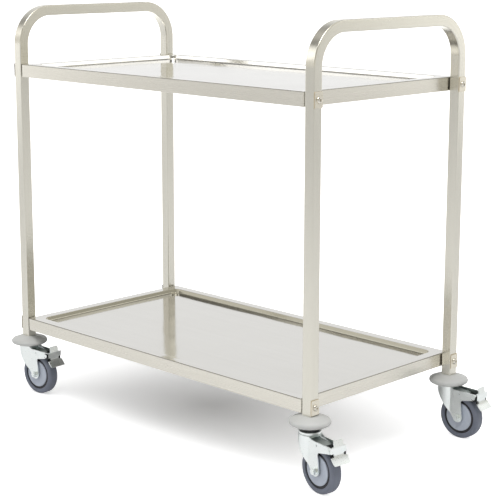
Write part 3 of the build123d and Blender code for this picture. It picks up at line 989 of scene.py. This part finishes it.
@dataclass
class TrayShelf:
    """A pressed tray with a flat rim, a turned-down flange and a folded hem."""

    node: str
    # The step's finish: painted light on the upper tray, painted shade on the lower one.
    step_painted_tone: Finish
    sheet: float = 1.0 * MM
    corner: float = 4.0 * MM
    rim_width: float = 25.0 * MM
    rim_round: float = 1.5 * MM
    tray_depth: float = 10.0 * MM
    tray_slope: float = 3.0 * MM
    tray_corner: float = 18.0 * MM
    lip_round: float = 1.2 * MM
    floor_round: float = 3.0 * MM
    hem: float = 8.0 * MM
    least_corner: float = 0.3 * MM
    corner_steps: int = 12
    round_steps: int = 7
    smooth_angle: float = 35.0

    def section(self, depth: float) -> list[Pair]:
        """The pressing's outer line, from the hem's edge to the tray's floor.

        Args:
            depth: height of the flange.

        Returns:
            Inset from the outer edge and drop below the rim, point by point.
        """
        line = [(self.hem, depth)]
        line += self._arc((0.0, depth), (self.hem, depth), (0.0, 0.0), self.sheet)
        line += self._arc((0.0, 0.0), (0.0, depth), (self.rim_width, 0.0), self.rim_round)
        lip = (self.rim_width, 0.0)
        foot = (self.rim_width + self.tray_slope, self.tray_depth)
        line += self._arc(lip, (0.0, 0.0), foot, self.lip_round)
        line += self._arc(foot, lip, (foot[0] + self.rim_width, foot[1]), self.floor_round)
        return line

    def _arc(self, corner: Pair, before: Pair, after: Pair, radius: float) -> list[Pair]:
        """Points of a round that replaces a corner of the section.

        Args:
            corner: the corner.
            before: a spot on the line that comes to it.
            after: a spot on the line that leaves it.
            radius: the round's radius.

        Returns:
            The points, in order.
        """
        at = Vector(corner)
        to_before = (Vector(before) - at).normalized()
        to_after = (Vector(after) - at).normalized()
        half = to_before.angle(to_after) / 2
        back = radius / math.tan(half)
        centre = at + (to_before + to_after).normalized() * radius / math.sin(half)
        start = at + to_before * back - centre
        end = at + to_after * back - centre
        turn = start.angle_signed(end)
        points = []
        for step in range(self.round_steps + 1):
            angle = -turn * step / self.round_steps
            spoke = Matrix.Rotation(angle, 2) @ start
            points.append(tuple(centre + spoke))
        return points

    def _ring(self, half: Vector, inset: float) -> list[Place]:
        """A rounded rectangle round the shelf.

        Args:
            half: half the shelf's length and width.
            inset: how far inside the outer edge it lies.

        Returns:
            The x, the y and the length round it so far, point by point.
        """
        radius = self._corner_at(inset)
        points: list[Place] = []
        run = 0.0
        for quarter, (sx, sy) in enumerate(((1, 1), (-1, 1), (-1, -1), (1, -1))):
            middle = Vector((sx * (half.x - inset - radius), sy * (half.y - inset - radius)))
            for step in range(self.corner_steps + 1):
                angle = math.radians(90) * (quarter + step / self.corner_steps)
                spot = middle + radius * Vector((math.cos(angle), math.sin(angle)))
                if points:
                    run += (spot - Vector(points[-1][:2])).length
                points.append((spot.x, spot.y, run))
        return points

    def build(self) -> None:
        """Press the sheet, give it its thickness and dress its zones."""
        mesh = self._pressing()
        piece = Piece.from_mesh(f"{self.node}_pressing", mesh)
        # The step and the fold take painted light and painted shade.
        for finish in (FLANGE_STEEL, TRAY_STEEL, self.step_painted_tone, BEND_PAINTED_SHADE):
            mesh.materials.append(finish.material())
        wall = piece.modifiers.new("sheet", "SOLIDIFY")
        wall.thickness = self.sheet
        wall.offset = -1.0
        wall.use_even_offset = True
        Piece.settle(piece)
        Piece.soften(piece, self.smooth_angle)
        Piece.hand_in(piece, "cart", "stainless_sheet", self.node)

    def _pressing(self) -> bpy.types.Mesh:
        """Loft the section round the shelf and close the floor, with the grain's map and the zones.

        Returns:
            The sheet's upper face.
        """
        low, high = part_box(self.node)
        half = Vector((high.x, high.y))
        perimeter = 4 * (half.x + half.y)
        line = self.section(high.z - low.z)
        shape = bmesh.new()
        grain = shape.loops.layers.uv.new(GRAIN_MAP)
        rings, length = [], 0.0
        for index, (inset, drop) in enumerate(line):
            if index:
                length += (Vector(line[index]) - Vector(line[index - 1])).length
            rings.append(
                [
                    (shape.verts.new((x, y, high.z - drop)), run, length)
                    for x, y, run in self._ring(half, inset)
                ]
            )
        count = len(rings[0])
        for index, (outer, inner) in enumerate(zip(rings, rings[1:])):
            zone = self._zone((Vector(line[index]) + Vector(line[index + 1])) / 2)
            for spot in range(count):
                after = (spot + 1) % count
                corners = (outer[spot], outer[after], inner[after], inner[spot])
                face = shape.faces.new([corner[0] for corner in corners])
                face.material_index = zone.value
                for loop, (_, run, across) in zip(face.loops, corners):
                    loop[grain].uv = (run if run or spot < count - 1 else perimeter, across)
        floor = shape.faces.new([corner[0] for corner in rings[-1]])
        floor.material_index = Zone.TRAY.value
        for loop in floor.loops:
            loop[grain].uv = loop.vert.co.xy
        bmesh.ops.recalc_face_normals(shape, faces=shape.faces)
        if floor.normal.z < 0:
            bmesh.ops.reverse_faces(shape, faces=shape.faces)
        return Piece.mesh_of(shape, f"{self.node}_pressing")

    def _zone(self, spot: Vector) -> Zone:
        """Which zone of the pressing a spot of its section lies in.

        Args:
            spot: inset from the outer edge and drop below the rim.

        Returns:
            The zone.
        """
        if spot.x < self.rim_round and 0.0 < spot.y < self.rim_round:
            return Zone.BEND
        if spot.x < self.rim_width / 2 and spot.y > 0.0:
            return Zone.FLANGE
        return Zone.STEP if spot.x > self.rim_width - self.lip_round else Zone.TRAY

    def _corner_at(self, inset: float) -> float:
        """Radius of the plan's corners.

        Args:
            inset: distance from the outer edge.

        Returns:
            The radius there.
        """
        if inset < self.rim_width / 2:
            return max(self.corner - inset, self.least_corner)
        return self.tray_corner + self.rim_width - inset


@dataclass
class ShelfBolts:
    """The button-head bolts that hold the shelves to the legs."""

    node: str = "shelf_bolts"
    head: float = 14.0 * MM
    head_height: float = 4.4 * MM
    socket: float = 5.0 * MM
    socket_depth: float = 2.6 * MM
    shank: float = 8.0 * MM
    DOME_SIDES: ClassVar[int] = 40
    DOME_STEPS: ClassVar[int] = 7
    DOME_FALL: ClassVar[float] = 0.72
    DOME_POWER: ClassVar[float] = 2.4
    SOCKET_SIDES: ClassVar[int] = 6
    SHANK_SIDES: ClassVar[int] = 24

    @classmethod
    def tree(cls) -> Growth:
        """A tree that sets a domed head with a hexagon socket, and its shank, on every seed point.

        Returns:
            The finished tree.
        """
        growth = Growth("button_bolts")
        for name in ("Head", "Head Height", "Socket", "Socket Depth", "Shank", "Shank Length"):
            growth.add_input(name)
        graph = growth.graph
        rise = growth.given("Head Height")
        dome = graph.node(
            "GeometryNodeMeshCylinder",
            {"fill_type": "NGON"},
            {
                "Vertices": cls.DOME_SIDES,
                "Side Segments": cls.DOME_STEPS,
                "Radius": growth.given("Head") / 2,
                "Depth": rise,
            },
        )
        place = graph.node("GeometryNodeInputPosition")
        parts = [graph.node("ShaderNodeSeparateXYZ", {}, {0: place}, part) for part in range(3)]
        height = parts[2] / rise + 0.5
        narrow = (1 - cls.DOME_FALL * height ** cls.DOME_POWER) ** 0.5
        moved = graph.node(
            "ShaderNodeCombineXYZ",
            {},
            {"X": parts[0] * narrow, "Y": parts[1] * narrow, "Z": height * rise},
        )
        dome = graph.node("GeometryNodeSetPosition", {}, {"Geometry": dome, "Position": moved})
        key = graph.node(
            "GeometryNodeMeshCylinder",
            {"fill_type": "NGON"},
            {
                "Vertices": cls.SOCKET_SIDES,
                "Radius": growth.given("Socket") / math.sqrt(3),
                "Depth": rise,
            },
        )
        key_lift = graph.node(
            "ShaderNodeCombineXYZ", {}, {"Z": 1.5 * rise - growth.given("Socket Depth")}
        )
        key = graph.node("GeometryNodeTransform", {}, {"Geometry": key, "Translation": key_lift})
        dome = graph.node(
            "GeometryNodeMeshBoolean", {"operation": "DIFFERENCE"}, {"Mesh 1": dome, "Mesh 2": key}
        )
        length = growth.given("Shank Length")
        shank = graph.node(
            "GeometryNodeMeshCylinder",
            {"fill_type": "NGON"},
            {"Vertices": cls.SHANK_SIDES, "Radius": growth.given("Shank") / 2, "Depth": length},
        )
        shank_drop = graph.node("ShaderNodeCombineXYZ", {}, {"Z": length / -2})
        shank = graph.node(
            "GeometryNodeTransform", {}, {"Geometry": shank, "Translation": shank_drop}
        )
        joined = graph.node("GeometryNodeJoinGeometry", {}, {"Geometry": [shank, dome]})
        facing = graph.node(
            "GeometryNodeInputNamedAttribute", {"data_type": "FLOAT_VECTOR"}, {"Name": "facing"}
        )
        turn = graph.node("FunctionNodeAlignRotationToVector", {"axis": "Z"}, {"Vector": facing})
        bolts = graph.node(
            "GeometryNodeInstanceOnPoints",
            {},
            {"Points": growth.given("Geometry"), "Instance": joined, "Rotation": turn},
        )
        growth.close(bolts)
        return growth

    def build(self) -> None:
        """Seat a bolt at each joint plate of the frame's box."""
        low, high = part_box(self.node)
        seat = high.x - self.head_height
        reach = high.y - self.head / 2
        heights = (low.z + self.head / 2, high.z - self.head / 2)
        places, facings = [], []
        for side in (-1, 1):
            for y in (-reach, reach):
                for z in heights:
                    places.append((side * seat, y, z))
                    facings.append((side, 0.0, 0.0))
        seed = bpy.data.meshes.new("bolt_places")
        seed.from_pydata(places, [], [])
        facing = seed.attributes.new("facing", "FLOAT_VECTOR", "POINT")
        for item, vector in zip(facing.data, facings):
            item.vector = vector
        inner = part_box("shelf_nuts")[1].x
        piece = self.tree().grow(
            "shelf_bolts_turned",
            seed,
            BOLT_STEEL,
            Head=self.head,
            Head_Height=self.head_height,
            Socket=self.socket,
            Socket_Depth=self.socket_depth,
            Shank=self.shank,
            Shank_Length=seat - inner,
        )
        Piece.soften(piece, SHARP_ANGLE)
        Piece.hand_in(piece, "cart", "stainless_hardware", self.node)


@dataclass
class Caster:
    """One swivel caster with its bumper disc and its brake."""

    corner: str
    fork_edge: float = 0.9 * MM
    sheet_edge: float = 0.45 * MM
    turned_edge: float = 0.3 * MM
    fork_reach: float = 60 * MM
    pedal_reach: float = 30 * MM
    hub_inside: float = 20 * MM
    hub_trim: float = 1.5 * MM
    notch_drop: float = 7.6 * MM
    notch_radius: float = 3.2 * MM
    notch_across: float = 9.0 * MM
    notch_back: float = 7.0 * MM
    notch_run: float = 12.8 * MM
    notch_steps: int = 10
    # Sheets behind the notches that carry painted shade.
    shade_sheet: Pair = (7.2 * MM, 7.8 * MM)
    shade_sheet_heights: Pair = (-12.5 * MM, -3.5 * MM)
    shade_sheet_inside: float = 13.4 * MM
    shade_sheet_margin: float = 1.2 * MM
    shade_sheet_skin: float = 0.05 * MM
    lip_root: Pair = (8.7 * MM, -9.0 * MM)
    lip_end: Pair = (22.0 * MM, -26.0 * MM)
    lip_bend: float = 0.44
    lip_sag: float = 0.9 * MM
    tail_start: float = -26.0 * MM

    def build(self) -> None:
        """Dress the turned and moulded nodes, and hone the pressed ones."""
        dressed = {
            "bumper": BUMPER_RUBBER,
            "caster_stem": ZINC_PLATE,
            "dust_cap": CAP_PLASTIC,
            "tyre": TYRE_RUBBER,
            "wheel_core": CORE_PLASTIC,
            "bearings": BEARING_STEEL,
        }
        for name, finish in dressed.items():
            Piece.dress(f"{name}_{self.corner}", finish)
        zinc = "zinc_plated_steel"
        for name, body, slot, piece in (
            ("fork", "swivel", zinc, self._fork()),
            ("axle", "swivel", zinc, self._turned("axle")),
            ("pedal_pin", "swivel", zinc, self._turned("pedal_pin")),
            ("pedal", "brake_pedal", zinc, self._pedal()),
            ("brake_shoe", "brake_lever", zinc, self._shoe()),
            ("hub_covers", "wheel", "hub_cover_plastic", self._hubs()),
        ):
            Piece.hand_in(piece, f"{body}_{self.corner}", slot, f"{name}_{self.corner}")

    def _joint(self, name: str) -> tuple[Vector, Vector]:
        """A joint of this caster.

        Args:
            name: the joint's name without its corner.

        Returns:
            Its place and its axis.
        """
        row = next(row for row in frame["joints"] if row["name"] == f"{name}_{self.corner}")
        return Vector(row["pos_m"]), Vector(row["axis"]).normalized()

    def _hubs(self) -> bpy.types.Object:
        """The hub covers, drawn in so that a dark groove shows round them.

        Returns:
            The piece.
        """
        piece = Piece.copied(f"hub_covers_{self.corner}")
        middle, axle = self._joint("wheel_spin")
        for vertex in piece.data.vertices:
            arm = vertex.co - middle
            out = arm - arm.dot(axle) * axle
            if out.length > self.hub_inside:
                vertex.co -= out.normalized() * self.hub_trim
        return Piece.cover(piece, HUB_PLASTIC)

    def _fork(self) -> bpy.types.Object:
        """The pressed housing, with painted shade on the faces inside it.

        Returns:
            The piece.
        """
        piece = Piece.hone(Piece.copied(f"fork_{self.corner}"), ZINC_PLATE, self.fork_edge)
        Piece.paint_shade_inside(piece, ZINC_PAINTED_SHADE, self.fork_reach)
        return piece

    def _turned(self, name: str) -> bpy.types.Object:
        """A turned piece, lightly rounded.

        Args:
            name: the node's name without its corner.

        Returns:
            The piece.
        """
        return Piece.hone(Piece.copied(f"{name}_{self.corner}"), ZINC_PLATE, self.turned_edge)

    def _pedal(self) -> bpy.types.Object:
        """The pedal, waisted by two notches with near-black sheets of painted shade behind them and
        painted shade inside it, its lip curved.

        Returns:
            The piece.
        """
        piece = Piece.copied(f"pedal_{self.corner}")
        back = self._pin_frame().inverted()
        half = max(abs((back @ vertex.co).y) for vertex in piece.data.vertices)
        Piece.combine(piece, self._notches(half), Combine.CUT)
        self._curve_lip(piece)
        Piece.combine(piece, self._shade_sheet(half), Combine.ADD)
        Piece.hone(piece, ZINC_PLATE, self.sheet_edge)
        # Painted shade inside the pedal and on the sheets behind the notches.
        Piece.paint_shade_inside(piece, GAP_PAINTED_SHADE, self.pedal_reach)
        front, foot = self.shade_sheet[1] + self.shade_sheet_skin, self.shade_sheet_heights[0] - self.sheet_edge
        self._shade(piece, lambda spot: foot < spot.z < 0 and 0 < spot.x < front)
        return piece

    def _shoe(self) -> bpy.types.Object:
        """The brake shoe, with painted shade at its tail in the gap before the pedal.

        Returns:
            The piece.
        """
        piece = Piece.copied(f"brake_shoe_{self.corner}")
        pin = self._pin_frame()
        Piece.split(piece, pin @ Vector((self.tail_start, 0.0, 0.0)), pin.col[0].xyz)
        Piece.hone(piece, SHOE_STEEL, self.sheet_edge)
        # Painted shade on the shoe's tail.
        self._shade(piece, lambda spot: spot.x > self.tail_start)
        return piece

    def _pin_frame(self) -> Matrix:
        """The pedal pin's frame: ahead, along the pin and up.

        Returns:
            The matrix from that frame to the object's.
        """
        place, along = self._joint("brake_tip")
        up = Vector((0.0, 0.0, 1.0))
        turn = Matrix((along.cross(up), along, up)).transposed().to_4x4()
        return Matrix.Translation(place) @ turn

    def _notches(self, half: float) -> bpy.types.Mesh:
        """Two notches at the waist of the pedal, one from each side.

        Args:
            half: half the pedal's width.

        Returns:
            The mesh that cuts them.
        """
        radius = self.notch_radius
        line = [(half + radius, -radius)]
        for step in range(self.notch_steps + 1):
            angle = math.pi * (1.5 - step / self.notch_steps)
            across = half - self.notch_across + radius
            line.append((across + radius * math.cos(angle), radius * math.sin(angle)))
        line.append((half + radius, radius))
        shape = bmesh.new()
        for side in (-1, 1):
            ends = [
                [shape.verts.new((ahead, side * y, z - self.notch_drop)) for y, z in line]
                for ahead in (self.notch_back, self.notch_back + self.notch_run)
            ]
            for end in ends:
                shape.faces.new(end)
            for spot in range(len(line)):
                after = (spot + 1) % len(line)
                shape.faces.new((ends[0][spot], ends[0][after], ends[1][after], ends[1][spot]))
        bmesh.ops.recalc_face_normals(shape, faces=shape.faces)
        bmesh.ops.transform(shape, matrix=self._pin_frame(), verts=shape.verts)
        return Piece.mesh_of(shape, f"notches_{self.corner}")

    def _shade_sheet(self, half: float) -> bpy.types.Mesh:
        """A thin sheet behind each notch, clear of the fork and the shoe, that carries painted
        shade.

        Args:
            half: half the pedal's width.

        Returns:
            The plates' mesh.
        """
        low, high = self.shade_sheet_heights
        outside = half - self.shade_sheet_margin
        size = (self.shade_sheet[1] - self.shade_sheet[0], outside - self.shade_sheet_inside, high - low)
        shape = bmesh.new()
        for side in (-1, 1):
            middle = (sum(self.shade_sheet) / 2, side * (outside + self.shade_sheet_inside) / 2, (low + high) / 2)
            place = self._pin_frame() @ Matrix.Translation(middle) @ Matrix.Diagonal((*size, 1.0))
            bmesh.ops.create_cube(shape, size=1.0, matrix=place)
        return Piece.mesh_of(shape, f"web_{self.corner}")

    def _curve_lip(self, piece: bpy.types.Object) -> None:
        """Bend the foot lip, so that its end flares outward.

        Args:
            piece: the pedal.
        """
        place = self._pin_frame()
        root, end = (Vector((ahead, 0.0, up)) for ahead, up in (self.lip_root, self.lip_end))
        along = (end - root).normalized()
        turn = place.to_3x3()
        sag = turn @ Vector((along.z, 0.0, -along.x)) * self.lip_sag
        Piece.split(piece, place @ root.lerp(end, self.lip_bend), turn @ along, sag)

    def _shade(self, piece: bpy.types.Object, inside: Callable[[Vector], bool]) -> None:
        """Paint shade on the faces that lie in a gap.

        Args:
            piece: what is dressed.
            inside: whether a spot in the pin's frame lies in the gap.
        """
        back = self._pin_frame().inverted()
        slot = Piece.slot(piece, GAP_PAINTED_SHADE)
        for face in piece.data.polygons:
            if inside(back @ face.center):
                face.material_index = slot


@dataclass
class Hardware:
    """Plates, spacers, angles, nuts and plugs of the bolted joints."""

    plate_edge: float = 0.2 * MM

    def build(self) -> None:
        """Dress the small nodes of the joints."""
        for node in ("corner_brackets", "leg_inserts"):
            Piece.dress(node, PLATE_STEEL)
        # Painted shade: the spacers are near-black, so the gap by each leg reads dark.
        Piece.dress("shelf_spacers", EDGE_PAINTED_SHADE)
        Piece.dress("shelf_nuts", BOLT_STEEL)
        plates = Piece.hone(Piece.copied("joint_plates"), PLATE_STEEL, self.plate_edge)
        # Painted shade on the plate edges at the left end, painted light at the right end.
        Piece.paint_edge_light_and_shade(plates, EDGE_PAINTED_SHADE, EDGE_PAINTED_LIGHT)
        Piece.hand_in(plates, "cart", "stainless_hardware", "joint_plates")


class Trolley:
    """The whole object."""

    def build(self) -> None:
        """Build every sub-assembly in turn."""
        sweep = EndFrame.sweep_tree()
        for side in ("left", "right"):
            EndFrame(f"end_frame_{side}").build(sweep)
        # The upper step takes painted light and the lower step painted shade.
        for node, step_painted_tone in (("upper_shelf", STEP_PAINTED_LIGHT), ("lower_shelf", STEP_PAINTED_SHADE)):
            TrayShelf(node, step_painted_tone).build()
        ShelfBolts().build()
        Hardware().build()
        for corner in CORNERS:
            Caster(corner).build()


@dataclass(frozen=True)
class Softbox:
    """A square lamp with a soft, even face."""

    name: str
    place: Place
    aim: Place
    size: float
    power: float

    def hang(self) -> None:
        """Put the lamp in the scene, turned to what it lights."""
        data = bpy.data.lights.new(self.name, "AREA")
        data.shape = "SQUARE"
        data.size = self.size
        data.energy = self.power
        lamp = bpy.data.objects.new(self.name, data)
        lamp.location = self.place
        aim = Vector(self.aim) - Vector(self.place)
        lamp.rotation_euler = aim.to_track_quat("-Z", "Y").to_euler()
        bpy.context.scene.collection.objects.link(lamp)


@dataclass
class Studio:
    """The floor, the light and the camera."""

    floor_size: float = 60.0
    floor_colour: Colour = (0.86, 0.86, 0.86)
    # The floor's glow, least at the shade centre and rising with distance, paints a shadow round
    # the cart.
    floor_lift: float = 0.14
    lift_rate: float = 0.95
    shade_centre: Place = (-0.05, 0.0, 0.0)
    softboxes: tuple[Softbox, ...] = (
        Softbox("softbox_over", (0.8, -1.0, 3.0), (0.0, 0.0, 0.2), 1.8, 42.0),
        Softbox("softbox_left", (-2.3, -2.3, 2.35), (-0.2, -0.2, 0.8), 1.6, 8.5),
        Softbox("softbox_right", (2.3, 2.5, 2.35), (0.2, 0.2, 0.8), 1.9, 12.0),
    )
    away: Pair = (-0.70, 0.71)
    # Where each of these fades starts, and how wide it is.
    far_floor: Pair = (0.8, 1.0)
    far_room: Pair = (0.35, 0.3)
    right_room: Pair = (-0.1, 0.5)
    both_sides: Pair = (0.55, 0.2)
    low_down: Pair = (0.5, -0.15)
    light_stops: Stops = (
        (0.0, 0.20), (0.2, 0.25), (0.45, 0.60), (0.7, 0.80), (1.0, 0.86),
    )
    side_light: Colour = (0.8, 0.8, 0.8)
    left_tint: Colour = (1.0, 0.975, 0.92)
    left_stops: Stops = (
        (0.0, 0.84), (0.10, 0.84), (0.30, 0.82), (0.42, 0.86), (0.48, 0.40),
        (0.54, 0.20), (0.65, 0.18), (0.73, 0.55), (0.81, 0.95), (1.0, 1.10),
    )
    right_tint: Colour = (1.0, 0.965, 0.85)
    right_stops: Stops = (
        (0.0, 0.86), (0.06, 0.86), (0.12, 0.50), (0.38, 0.50), (0.44, 0.60), (0.48, 0.32),
        (0.54, 0.11), (0.65, 0.12), (0.73, 0.55), (0.81, 0.95), (1.0, 1.10),
    )
    backdrop_stops: Stops = (
        (0.0, 1.0), (0.33, 1.0), (0.50, 0.90), (0.62, 0.70), (0.72, 0.22),
        (0.80, 0.15), (0.88, 0.40), (0.94, 0.90), (1.0, 1.10),
    )
    frame_pixels: float = 500.0
    sensor: float = 36.0
    focal_pixels: float = 1424.9
    centre: Pair = (259.9, 224.6)
    camera_place: Place = (2.3079, -2.2798, 1.0816)
    yaw: float = 44.10
    pitch: float = 11.03
    roll: float = 0.20
    clip_end: float = 200.0

    def build(self) -> None:
        """Set up the floor, the sky, the lamps and the camera."""
        bpy.context.scene.view_settings.view_transform = "Standard"
        self._floor()
        self._sky()
        for softbox in self.softboxes:
            softbox.hang()
        self._camera()

    def _floor(self) -> None:
        """Lay a wide pale floor that keeps the shadow and is white away from it: for the camera and
        the mirrors it glows least at the shade centre and more with distance, a painted shadow
        round the cart.
        """
        half = self.floor_size / 2
        mesh = bpy.data.meshes.new("floor")
        corners = [(-half, -half, 0), (half, -half, 0), (half, half, 0), (-half, half, 0)]
        mesh.from_pydata(corners, [], [(0, 1, 2, 3)])
        floor = Piece.from_mesh("floor", mesh)
        material = bpy.data.materials.new("studio_floor")
        material.use_nodes = True
        graph = Graph(material.node_tree)
        place = graph.node("ShaderNodeTexCoord", {}, {}, "Object")
        reach = graph.node(
            "ShaderNodeVectorMath",
            {"operation": "DISTANCE"},
            {0: place, 1: self.shade_centre},
            "Value",
        )
        x, y = (graph.node("ShaderNodeSeparateXYZ", {}, {0: place}, axis) for axis in range(2))
        behind = (self.away[0] * x + self.away[1] * y).fade(*self.far_floor)
        camera, mirrored = self._sight(graph)
        seen = camera.at_least(mirrored * behind)
        # Painted shadow: the glow is least at the shade centre and grows with distance from it.
        level = (self.floor_lift + self.lift_rate * reach).at_most(1.0)
        lift = graph.blend(seen * level, BLACK, WHITE)
        shade = graph.node(
            "ShaderNodeBsdfPrincipled",
            {},
            {
                "Base Color": (*self.floor_colour, 1.0),
                "Roughness": 1.0,
                "Specular IOR Level": 0.0,
                "Emission Color": lift,
                "Emission Strength": 1.0,
            },
        )
        graph.node("ShaderNodeOutputMaterial", {}, {"Surface": shade})
        mesh.materials.append(material)

    @staticmethod
    def _sight(graph: Graph) -> tuple[Value, Value]:
        """What a ray comes from.

        Args:
            graph: the tree that asks.

        Returns:
            1 for a ray from the camera, and 1 for a ray from a mirror or through glass.
        """
        camera, glossy, through = (
            graph.node("ShaderNodeLightPath", {}, {}, f"Is {kind} Ray")
            for kind in ("Camera", "Glossy", "Transmission")
        )
        return camera, glossy.at_least(through)

    @staticmethod
    def _dome(graph: Graph, rise: Value, levels: Stops, tint: Colour = WHITE) -> Value:
        """A sky whose level changes with height.

        Args:
            graph: the world's tree.
            rise: height of a direction, from 0 at the horizon to 1 overhead.
            levels: heights and the light there.
            tint: colour of the light.

        Returns:
            The sky's colour.
        """
        stops = [(place, tuple(level * part for part in tint)) for place, level in levels]
        return graph.node("ShaderNodeValToRGB", {"stops": stops}, {0: rise})

    def _sky(self) -> None:
        """A soft light dome, and a room with a white backdrop that the camera and the steel see."""
        world = bpy.data.worlds.new("studio")
        bpy.context.scene.world = world
        world.use_nodes = True
        graph = Graph(world.node_tree)
        direction = graph.node("ShaderNodeTexCoord", {}, {}, "Generated")
        x, y, rise = (
            graph.node("ShaderNodeSeparateXYZ", {}, {0: direction}, axis) for axis in range(3)
        )
        camera, mirrored = self._sight(graph)
        behind = (self.away[0] * x + self.away[1] * y).fade(*self.far_room)
        room = graph.blend(
            x.fade(*self.right_room),
            self._dome(graph, rise, self.left_stops, self.left_tint),
            self._dome(graph, rise, self.right_stops, self.right_tint),
        )
        backdrop = self._dome(graph, rise, self.backdrop_stops)
        view = graph.blend(camera, graph.blend(behind, room, backdrop), WHITE)
        beside = (x * x).fade(*self.both_sides)
        low = rise.fade(*self.low_down)
        dome = self._dome(graph, rise, self.light_stops)
        light = graph.blend(beside * low, dome, self.side_light)
        shades = [
            graph.node("ShaderNodeBackground", {}, {"Color": colour, "Strength": 1.0})
            for colour in (light, view)
        ]
        seen = camera.at_least(mirrored)
        sky = graph.node("ShaderNodeMixShader", {}, {0: seen, 1: shades[0], 2: shades[1]})
        graph.node("ShaderNodeOutputWorld", {}, {"Surface": sky})

    def _camera(self) -> None:
        """Stand the camera where the photograph was taken."""
        data = bpy.data.cameras.new("camera")
        data.sensor_width = self.sensor
        data.lens = self.focal_pixels / self.frame_pixels * self.sensor
        data.shift_x = 0.5 - self.centre[0] / self.frame_pixels
        data.shift_y = self.centre[1] / self.frame_pixels - 0.5
        data.clip_end = self.clip_end
        camera = bpy.data.objects.new("camera", data)
        yaw, pitch, roll = (math.radians(angle) for angle in (self.yaw, self.pitch, self.roll))
        ahead = Vector(
            (-math.sin(yaw) * math.cos(pitch), math.cos(yaw) * math.cos(pitch), -math.sin(pitch))
        )
        level = Vector((math.cos(yaw), math.sin(yaw), 0.0))
        over = level.cross(ahead)
        right = math.cos(roll) * level + math.sin(roll) * over
        up = math.cos(roll) * over - math.sin(roll) * level
        turn = Matrix((right, up, -ahead)).transposed().to_4x4()
        camera.matrix_world = Matrix.Translation(self.camera_place) @ turn
        bpy.context.scene.collection.objects.link(camera)
        bpy.context.scene.camera = camera


def main() -> None:
    """Build the trolley and the studio."""
    logging.basicConfig(level=logging.INFO, format="%(message)s")
    Trolley().build()
    Studio().build()


if __name__ == "__main__":
    main()
